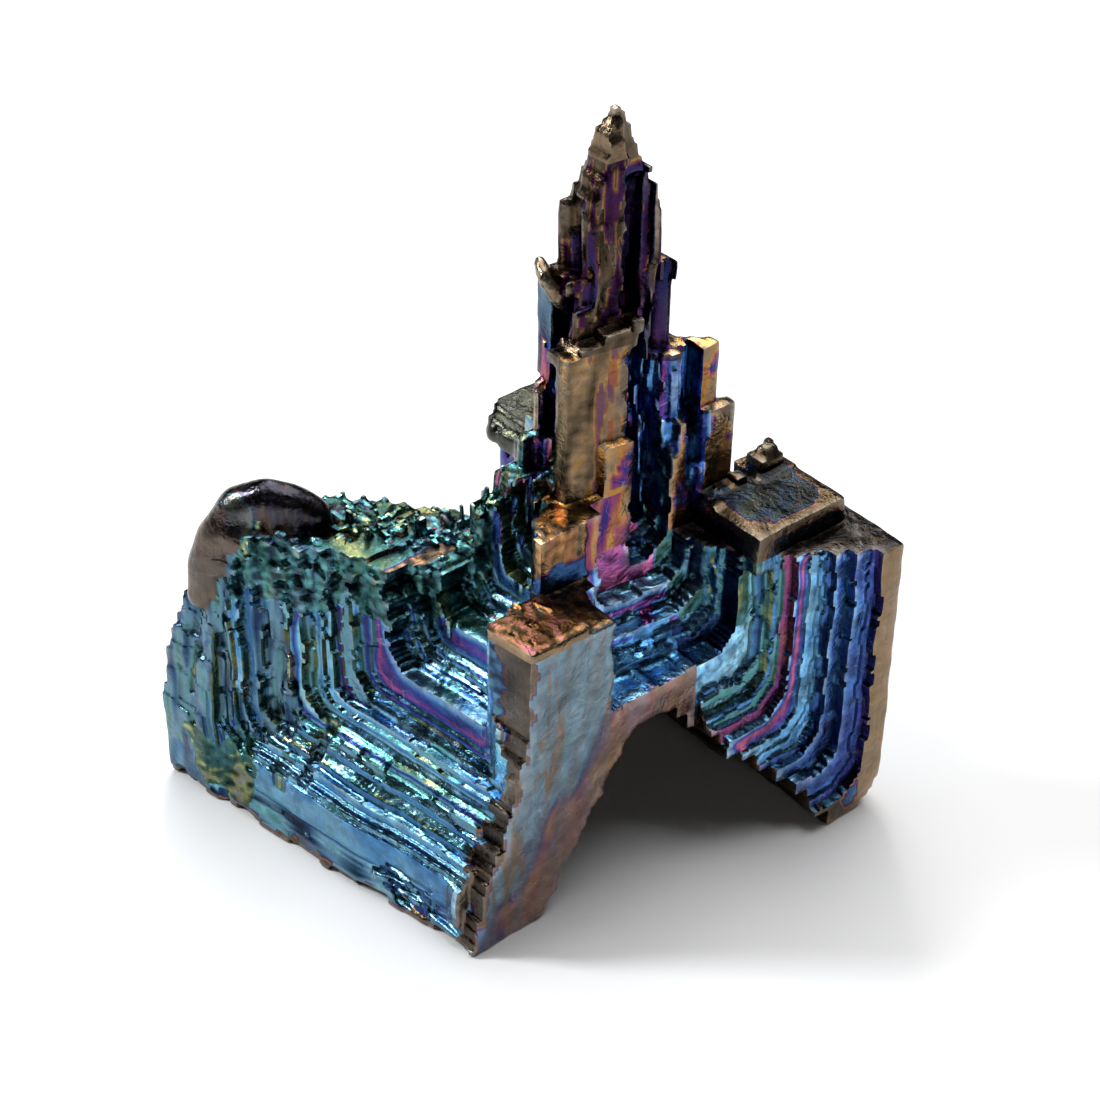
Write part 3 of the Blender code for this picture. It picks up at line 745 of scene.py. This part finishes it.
def paint_left(f):
    """Left and back recesses with painted glints and dark reflections; the left side's magenta panels, rubble,
    foot, green stain.
    """
    left, level, x, y, z, draw, cloud, grain = f.kind == LEFT, f.level, f.x, f.y, f.z, f.draw, f.cloud, f.grain
    broad = left & (f.axis == 0)
    for kind, middle in ((LEFT, 0.81), (BACK, 0.75)):
        here = f.kind == kind
        f.paint(here, middle + 0.09 * draw[0], 0.18 + 0.18 * draw[1], 0.30, 1.05 + 0.35 * draw[2])
        # Ledges: a tone over 1 puts painted glints on them.
        f.paint(here & f.up, 0.82 + 0.13 * draw[0], 0.0, 0.55, 1.7 + 1.5 * draw[2])
    f.paint(broad & np.isin(level, LEFT_MAGENTA), 0.68, 0.27, 0.20, 1.1)
    f.paint(broad & (level == LEFT_TOP), 0.76, 0.20, 0.20, 1.0)
    f.paint(broad & (y > 12 - 0.5 * x) & (z > 6 + x), None, None, 0.30, 0.85 + 0.4 * draw[3])
    # Far walls: darkened as a painted dark reflection.
    f.paint(left & (f.axis == 1), 0.90 + 0.06 * draw[0], 0.0, 0.35, 0.3 + 0.2 * draw[2])
    length = ripple(f.place * (1, 0.15, 1), 0.8)
    # Lowest ledges and the foot's band: a tone over 1 adds painted glints along them.
    f.paint(left & (level < 3) & (y < 20), 0.78 + 0.05 * draw[0], 0.0, 0.30, 1.5)
    f.paint(left & (level < 6) & (z < 2.2), 0.75 + 0.08 * length, 0.0, 0.30, 0.8 + 0.6 * length, 0.1)
    rubble = left & (z > 16.0 + 0.8 * cloud) & (y > 9)
    f.paint(rubble, 0.87 + 0.04 * f.streak, 0.0, 0.15, 0.5 + 0.35 * f.streak + 0.4 * grain)
    f.paint((x < -3) & (z < 0.5 + 0.12 * cloud) & (y > 0.3), 0.07, 0.0, 0.10, 0.8)
    stain = ((f.kind == OUTSIDE) | left) & (x < 0) & (np.hypot(y - 20.5, z - 3.2) < 2.2 + 0.8 * cloud)
    f.paint(stain, 0.91 + 0.03 * grain, 0.0, 0.35, 0.6 + 0.35 * grain)


def paint_right(f):
    """Right recess, whose tone over 1 gives painted glints, with the faces of the tower that it lays bare."""
    right, x, z, draw, cloud, streak = f.kind == RIGHT, f.x, f.z, f.draw, f.cloud, f.streak
    film, fall, tone = RIGHT_FILM[np.clip(f.level, 0, len(RIGHT_FILM) - 1)].T
    f.paint(right, film, fall, 0.22, tone * (1.22 + 0.15 * streak + 0.2 * (x < 17.7)), 0.05)
    f.paint(right & (f.axis == 0), film + 0.06 * draw[0], 0.0, 0.2, 0.55 + 0.25 * draw[1])
    # Ledges: a tone under 1 is painted dark reflection, and a tone over 1 is painted glints.
    f.paint(right & f.up, 0.72 + 0.10 * draw[0], 0.0, 0.3, 0.75 + 0.5 * draw[2])
    teal = right & (f.axis == 1) & (x > 17.7) & (x < 20.8) & (z > 14.8 + 0.6 * cloud)
    f.paint(teal, 0.86 + 0.06 * streak, 0.0, 0.3, 0.65 + 0.25 * f.grain)
    f.paint(right & (z > 19.8) & (x < 16.2), 0.34 + 0.16 * streak, 0.0, 0.35, 1.0)
    # Sill: a tone of 1.7 brightens it with painted glints.
    sill = right & (z < 15.3 + 0.4 * cloud) & (x < 17.0)
    f.paint(sill, np.where(cloud > 0.75, 0.42, 0.70 + 0.04 * f.grain), 0.0, 0.15, 1.7)
    f.paint(right & (z > 32), 0.49, 0.0, 0.1, 0.5)
    f.paint(right & (z > 42.8), 0.05, 0.0, 0.1, 0.8)


def paint_front(f):
    """Grey tip of the back arm and the underside, both darkened as painted shade, and the front ridge with its
    tan stain and brown edge.
    """
    y, z, grain, side = f.y, f.z, f.grain, f.axis == 1
    # Back arm's tip: dark grey, its darkness painted shade.
    tip = ((y > 20) | ((f.kind == BACK) & (y > 19))) & (f.x > 18.5) & (z > 14)
    f.paint(tip, 0.98, 0.0, 0.05, 0.2, 0.3)
    # Underside: darkened as painted shade.
    f.paint(f.kind == UNDER, 0.12 + 0.10 * f.draw[0], 0.0, 0.4, 0.35)
    away = f.x - np.interp(z, column(FRONT_EDGE, 0), column(FRONT_EDGE, 1))
    wave = ripple(f.place, 1.3)
    front = (f.kind == FRONT) | ((f.kind == OUTSIDE) & side & (y < 0.3) & (f.x < 17))
    stain = np.clip(0.5 + 0.25 * away - 0.17 * z + 0.4 * f.cloud, 0, 1)
    f.paint(front, 0.81 - 0.55 * stain, 0.0, 0.12 + 0.25 * stain, 1.15, 0.6 + 0.15 * f.streak)
    f.paint(front & (away < 0.3 + 0.3 * wave), 0.10, 0.0, 0.10, 0.7, 0.3)
    f.paint(front & ~side, 0.10 + 0.03 * grain, 0.0, 0.15, 0.30 + 0.2 * f.cloud, 0.45)
    f.paint(front & ~side & (y > 1.2 + 0.45 * wave), 0.74 + 0.06 * grain, 0.0, 0.3, 0.45 + 0.2 * grain)


def paint_tower(f):
    """Grooves, deep ones with painted shade, tan front posts, violet left posts, gold right posts, brown and
    violet spire, glinting tops.
    """
    level, up, x, z, cloud, streak, grain = f.level, f.up, f.x, f.z, f.cloud, f.streak, f.grain
    groove, tower, side = f.kind == GROOVE, f.kind == TOWER, f.axis == 1
    f.paint(groove, 0.62 + 0.10 * f.draw[0] + 0.06 * streak, 0.05, 0.40, 1.25 + 0.6 * f.draw[1])
    # Deep grooves of the spire and high on the tower: darkened as painted shade.
    f.paint(groove & (level <= 3), 0.49, 0.0, 0.12, 0.3, 0.25)
    f.paint(groove & (z > 30.5), 0.47 + 0.04 * streak, 0.0, 0.15, 0.4, 0.1)
    f.paint(groove & (level >= LEFT_CRACKS), 0.46 + 0.16 * streak, 0.0, 0.40, 1.2)
    low, middle, high = (tower & (level == number) for number in range(3))
    f.paint(low, 0.12, 0.0, 0.20, 0.9)
    f.paint(low & up, 0.21 + 0.07 * grain, 0.0, 0.20, 0.45 + 0.45 * grain, 0.15)
    f.paint(middle, 0.17 + 0.06 * streak, 0.0, 0.40, 0.7 + 0.35 * grain, 0.15)
    f.paint(middle & (z < 21.0 + 0.3 * cloud), 0.62, 0.0, 0.40, 0.8)
    tan = np.where(z < 24.0 + 0.8 * cloud, 0.24, 0.11 + 0.02 * streak)
    f.paint(high, tan, 0.0, 0.28, 0.75 + 0.3 * streak + 0.2 * grain)
    f.paint(high & side & (x > 14.4 + 0.5 * cloud), 0.12 + 0.05 * streak, 0.0, 0.25, 0.7 + 0.15 * grain, 0.4)
    f.paint(high & side & (x > 13.2) & (streak > 0.55), 0.34, 0.0, 0.2, 0.7, 0.35)
    tongue = high & side & (x > 14.6) & (0.12 * z < 3.2 + 0.8 * cloud) & (streak > 0.1)
    f.paint(tongue, np.where(cloud > 0, 0.23, 0.70), 0.0, 0.2, 0.8)
    left = tower & (level >= LEFT_POST) & (level < RIGHT_POST)
    f.paint(left, np.where(f.at_rim, 0.14, 0.44 + 0.12 * streak), 0.0, 0.6)
    blue = np.clip(0.46 + 0.06 * (z - 31.0), 0.42, 0.68) + 0.06 * streak
    f.paint(tower & (level == BROW_LEVEL), blue, 0.0, 0.3, 0.45 + 0.2 * streak, 0.3)
    right = tower & (level >= RIGHT_POST) & (level < SPIRE_LEVEL)
    f.paint(right, np.where(f.rim < 0.24, 0.10, 0.18 + 0.04 * streak), 0.0, 0.35, 0.85)
    f.paint(right & (cloud < -0.5), 0.44 + 0.1 * grain, 0.0, 0.3)
    spire = tower & (level >= SPIRE_LEVEL)
    f.paint(spire, np.where(streak < -0.2, 0.43, 0.03 + 0.02 * streak), 0.0, 0.12, 0.48 + 0.35 * streak)
    f.paint(spire & (z > 43.6), 0.08, 0.0, 0.10, 0.9)
    # Tops of the posts: gold, with painted glints where the tone goes over 1.
    f.paint(tower & up & (level > 0) & (level < SPIRE_LEVEL), 0.15 + 0.05 * grain, 0.0, 0.3, 1.2 + 0.7 * grain)
    green = left & (level < LEFT_POST + 3) & ((f.sign < 0) | (f.axis == 2))
    f.paint(green, 0.90 + 0.07 * streak, 0.0, 0.3, 0.6 + 0.5 * grain)


def paint_crust(f):
    """Grey cap with brown rims, green rubble, brown specks, beak and brow, and the dark lip, darker inwards as
    painted shade.
    """
    crust, ball, level, x, y, z, grain = f.kind == CRUST, f.kind == ROUND, f.level, f.x, f.y, f.z, f.grain
    f.paint(crust, 0.15 + 0.07 * grain, 0.0, 0.30, 0.7 + 0.7 * grain)
    f.paint(crust & (level == SPECKS) & (x > 20), 0.09, 0.0, 0.1, 0.5)
    f.paint(crust & (level == RUBBLE), 0.87 + 0.06 * grain, 0.0, 0.3, 0.7 + 0.9 * grain)
    cap, edge = crust & (level == CAP_LEVEL), f.rim < 0.40
    f.paint(cap, np.where(edge, 0.09, 1.0), 0.0, 0.06, np.where(edge, 0.5, 0.14))
    f.paint(cap & ~edge & (f.cloud > 0.1), 0.68, 0.0, 0.1, 0.18, 0.5)
    f.paint(crust & (level == BEAK_LEVEL), 0.05, 0.0, 0.10, 0.6 + 0.25 * grain)
    f.paint(ball, 1.0, 0.0, 0.0, 0.55 + 0.1 * f.cloud)
    f.paint(ball & (x < 15) & (z > 30), 0.08, 0.0, 0.1, 1.0)
    f.paint(ball & (x < -2.3 + 0.3 * f.cloud) & (y > 15) & (z > 10), 0.06, 0.0, 0.1, 0.7, 0.35)
    # Painted shade: the lip's inner side darkens away from its outer edge.
    shine = np.clip(0.45 - 0.12 * (x + 1.5), 0.15, 1)
    f.paint(ball & (x > -1.5) & (x < 5) & (y > 15), 0.49, 0.0, 0.1, shine, 0.7)


def film_of(facts, place, rim):
    """Thickness, fall, patchiness, tone and grey at each corner of each face; the tone carries painted shade and
    glints.
    """
    film = Film(facts, place, rim)
    for paint in (paint_outside, paint_left, paint_right, paint_front, paint_tower, paint_crust):
        paint(film)
    *others, tone, dull = film.values
    return *others, np.clip(tone, *TONE_RANGE), np.clip(dull, 0, 1)


class Nodes:
    """Short way to build a material's nodes."""

    def __init__(self, name):
        self.material = bpy.data.materials.new(name)
        self.material.use_nodes = True
        self.tree = self.material.node_tree
        self.shader = self.tree.nodes["Principled BSDF"]

    def put(self, kind, **values):
        node = self.tree.nodes.new(kind)
        for name, value in values.items():
            setattr(node, name, value)
        return node

    def feed(self, socket, value):
        if isinstance(value, bpy.types.NodeSocket):
            self.tree.links.new(value, socket)
        else:
            socket.default_value = value

    def math(self, operation, *values, clamp=False):
        node = self.put("ShaderNodeMath", operation=operation, use_clamp=clamp)
        for socket, value in zip(node.inputs, values):
            self.feed(socket, value)
        return node.outputs[0]

    def fact(self, name):
        return self.put("ShaderNodeAttribute", attribute_name=name).outputs["Fac"]

    def noise(self, vector, scale, detail=3.0, roughness=0.5, distortion=0.0):
        node = self.put("ShaderNodeTexNoise")
        names = ("Vector", "Scale", "Detail", "Roughness", "Distortion")
        for name, value in zip(names, (vector, scale, detail, roughness, distortion)):
            self.feed(node.inputs[name], value)
        return node.outputs["Fac"]

    def range(self, value, low, high, out_low=0.0, out_high=1.0):
        node = self.put("ShaderNodeMapRange")
        for socket, number in zip(node.inputs, (value, low, high, out_low, out_high)):
            self.feed(socket, number)
        return node.outputs[0]

    def mix(self, share, first, second, blend_type="MIX"):
        node = self.put("ShaderNodeMix", data_type="RGBA", blend_type=blend_type)
        for socket, value in ((node.inputs[0], share), (node.inputs[6], first), (node.inputs[7], second)):
            self.feed(socket, value)
        return node.outputs[2]


def film_colour(n, place, reach, small):
    """Colour of the film: thickness through the ramp, then grey, tan streaks, veins and painted sheen on convex
    edges.
    """
    inside = n.math("MULTIPLY", n.math("ABSOLUTE", n.math("SUBTRACT", reach, 0.5)), 6.0)
    broad = n.math("SUBTRACT", 1.0, inside, clamp=True)
    patches = n.noise(place, 260.0, 2.0, 0.5, 0.6)
    film = n.math("SUBTRACT", n.fact("film"), n.math("MULTIPLY", n.fact("swing"), broad))
    film = n.math("ADD", film, n.math("MULTIPLY", n.math("SUBTRACT", patches, 0.5), n.fact("patchy")))
    film = n.math("ADD", film, n.math("MULTIPLY", n.math("SUBTRACT", small, 0.5), 0.10))
    ramp = n.put("ShaderNodeValToRGB")
    n.feed(ramp.inputs[0], film)
    elements = ramp.color_ramp.elements
    while len(elements) < len(COLOURS):
        elements.new(0.5)
    for element, (position, _) in zip(elements, COLOURS):
        element.position = position
    for element, (_, colour) in zip(elements, COLOURS):
        element.color = (*colour, 1.0)
    colour = n.mix(n.fact("dull"), ramp.outputs[0], GREY_FILM)
    upright = n.put("ShaderNodeVectorMath", operation="MULTIPLY")
    n.feed(upright.inputs[0], place)
    upright.inputs[1].default_value = (1.0, 1.0, 0.16)
    streaks = n.range(n.noise(upright.outputs[0], 800.0, 3.0, 0.6, 0.8), 0.56, 0.62, 0.0, 0.75)
    streaks = n.math("MULTIPLY", streaks, n.range(n.fact("dull"), 0.3, 0.45))
    colour = n.mix(streaks, colour, TAN_STREAK)
    veins = n.math("ABSOLUTE", n.math("SUBTRACT", n.noise(place, 620.0, 1.0, 0.5, 0.4), 0.5))
    where = n.range(n.noise(place, 330.0, 1.0), 0.48, 0.56)
    veins = n.math("MULTIPLY", n.range(veins, 0.004, 0.012, 0.6, 0.0), where)
    # Painted sheen: convex edges turn pale as if catching light; the veins are thin pale lines in the film.
    edge = n.math("MAXIMUM", n.range(reach, 0.40, 0.22), veins)
    worn = n.math("MULTIPLY", edge, n.range(small, 0.35, 0.65, 0.15, 0.8))
    return n.mix(worn, colour, n.mix(0.45, colour, SHEEN_AND_VEIN_METAL))


def painted_shade_and_glints(n, place, reach):
    """Painted shade deep in hollows and concave corners, times the tone; its part over 1 gives painted glints."""
    # Painted shade: darker where the hollow is deep and where a corner is concave.
    hollows = n.range(n.fact("hollow"), 0.60, 0.92, 1.0, 0.40)
    hollows = n.math("MULTIPLY", hollows, n.range(reach, 0.56, 0.80, 1.0, 0.25))
    glint = n.math("MAXIMUM", n.math("SUBTRACT", n.fact("tone"), 1.0), 0.0)
    glint = n.math("MULTIPLY", glint, n.range(n.noise(place, 1100.0, 2.0, 0.5, 0.3), 0.38, 0.62, 0.0, 2.0))
    return n.math("MULTIPLY", hollows, n.math("ADD", n.math("MINIMUM", n.fact("tone"), 1.0), glint))


def crystal_material():
    """Bright metal under an oxide film whose thickness sets its colour, times painted shade and painted glints.
    """
    n = Nodes("oxide_film")
    place = n.put("ShaderNodeTexCoord").outputs["Object"]
    reach, small = n.fact("reach"), n.noise(place, 1500.0, 3.0, 0.6, 0.4)
    # The film's colour is multiplied by painted shade and painted glints.
    shade, dark = painted_shade_and_glints(n, place, reach), n.put("ShaderNodeCombineColor")
    for socket in dark.inputs[:3]:
        n.feed(socket, shade)
    colour = n.mix(1.0, film_colour(n, place, reach, small), dark.outputs[0], "MULTIPLY")
    n.feed(n.shader.inputs["Base Color"], colour)
    n.feed(n.shader.inputs["Roughness"], n.range(n.noise(place, 700.0, 4.0, 0.6), 0.3, 0.7, 0.12, 0.36))
    n.feed(n.shader.inputs["Metallic"], 1.0)
    bump = n.put("ShaderNodeBump")
    n.feed(bump.inputs["Strength"], 0.35)
    n.feed(bump.inputs["Distance"], 0.00012)
    waves = n.math("MULTIPLY", n.noise(place, 900.0, 2.0, 0.5, 1.5), 1.4)
    n.feed(bump.inputs["Height"], n.math("ADD", n.noise(place, 2600.0, 4.0, 0.65, 0.8), waves))
    n.feed(n.shader.inputs["Normal"], bump.outputs[0])
    return n.material


def stand(name, data):
    """Put a new object into the scene."""
    thing = bpy.data.objects.new(name, data)
    bpy.context.scene.collection.objects.link(thing)
    return thing


def crystal():
    """The stepped skin, with its film's facts on the corners of its faces and its hollows on its points."""
    growth, balls = grow()
    verts, index, faces, facts = skin(growth)
    reach, hollow = fullness(growth, verts, REACH_RADIUS), fullness(growth, verts, HOLLOW_RADIUS)
    shaped = bent(softened(rounded(growth, verts, index, balls), faces, SOFT_ROUNDS, SOFT_SHARE))
    mesh = bpy.data.meshes.new("crystal_skin")
    mesh.from_pydata(shaped.tolist(), [], faces.tolist())
    mesh.update()
    corners = faces.reshape(-1)
    inward = verts[corners] + 0.25 * (verts[faces].mean(axis=1).repeat(4, axis=0) - verts[corners])
    film = film_of(facts.repeat(4, axis=0), inward, fullness(growth, verts, RIM_RADIUS)[corners])
    tables = [(name, "CORNER", values) for name, values in zip(("film", "swing", "patchy", "tone", "dull"), film)]
    for name, domain, values in tables + [("reach", "POINT", reach), ("hollow", "POINT", hollow)]:
        mesh.attributes.new(name, "FLOAT", domain).data.foreach_set("value", values.astype(np.float32))
    mesh.polygons.foreach_set("use_smooth", np.ones(len(faces), bool))
    mesh.set_sharp_from_angle(angle=math.radians(SHARP_DEGREES))
    mesh.materials.append(crystal_material())
    return stand("crystal_skin", mesh)


def floor():
    """A wide pale floor, a little uneven in tone."""
    mesh = bpy.data.meshes.new("floor")
    mesh.from_pydata([(-2, -2, 0), (2, -2, 0), (2, 2, 0), (-2, 2, 0)], [], [(0, 1, 2, 3)])
    n = Nodes("floor_paper")
    patches = n.noise(n.put("ShaderNodeTexCoord").outputs["Object"], 14.0)
    n.feed(n.shader.inputs["Base Color"], n.mix(patches, (0.86, 0.86, 0.865, 1.0), (0.90, 0.90, 0.90, 1.0)))
    n.feed(n.shader.inputs["Roughness"], 0.9)
    n.feed(n.shader.inputs["Specular IOR Level"], 0.1)
    mesh.materials.append(n.material)
    return stand("floor", mesh)


def light(name, place, target, size, power, colour=(1, 1, 1)):
    data = bpy.data.lights.new(name, "AREA")
    data.shape = "RECTANGLE"
    data.size, data.size_y = size
    data.energy = power
    data.color = colour
    thing = stand(name, data)
    thing.location = place
    thing.rotation_mode = "QUATERNION"
    thing.rotation_quaternion = (Vector(target) - Vector(place)).to_track_quat("-Z", "Y")


def studio():
    """A large soft box overhead lights the floor, and small ones behind give the glints on the ledges."""
    world = bpy.data.worlds.new("studio")
    world.use_nodes = True
    background = world.node_tree.nodes["Background"]
    background.inputs["Color"].default_value = (0.93, 0.96, 1.0, 1.0)
    background.inputs["Strength"].default_value = 0.025
    bpy.context.scene.world = world
    light("overhead", (0.15, 0.11, 0.50), (0, 0, 0), (0.52, 0.52), 3.7)
    light("window", (0.20, 0.27, 0.26), (0, 0, 0.02), (0.05, 0.12), 0.25, (1.0, 0.97, 0.90))
    light("left_back", (-0.24, 0.28, 0.29), (0, 0, 0.01), (0.08, 0.13), 1.7, (0.95, 0.98, 1.0))
    light("front_right", (0.25, -0.29, 0.30), (0, 0, 0.01), (0.05, 0.08), 0.05, (0.95, 0.98, 1.0))
    light("front_left", (-0.30, -0.36, 0.40), (0, 0, 0.01), (0.04, 0.04), 0.08)


def camera():
    """The photograph's view: from the front left, 37 degrees down, nearly level."""
    rise, turn, roll = (math.radians(angle) for angle in CAMERA_ANGLES)
    back = Vector((math.sin(turn) * math.cos(rise), -math.cos(turn) * math.cos(rise), math.sin(rise)))
    across = Vector((math.cos(turn), math.sin(turn), 0.0))
    up = back.cross(across)
    right = across * math.cos(roll) + up * math.sin(roll)
    up = up * math.cos(roll) - across * math.sin(roll)
    data = bpy.data.cameras.new("camera")
    data.sensor_width = SENSOR_MM
    data.lens = FOCAL_PIXELS / PHOTO_PIXELS * SENSOR_MM
    data.clip_start, data.clip_end = 0.005, 20.0
    thing = stand("camera", data)
    matrix = Matrix((right, up, back)).transposed().to_4x4()
    matrix.translation = CAMERA_PLACE
    thing.matrix_world = matrix
    bpy.context.scene.camera = thing


skin_piece = crystal()
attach(skin_piece, "root")
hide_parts("bismuth_crystal")
floor()
studio()
camera()
bpy.context.scene.view_settings.view_transform = "Standard"
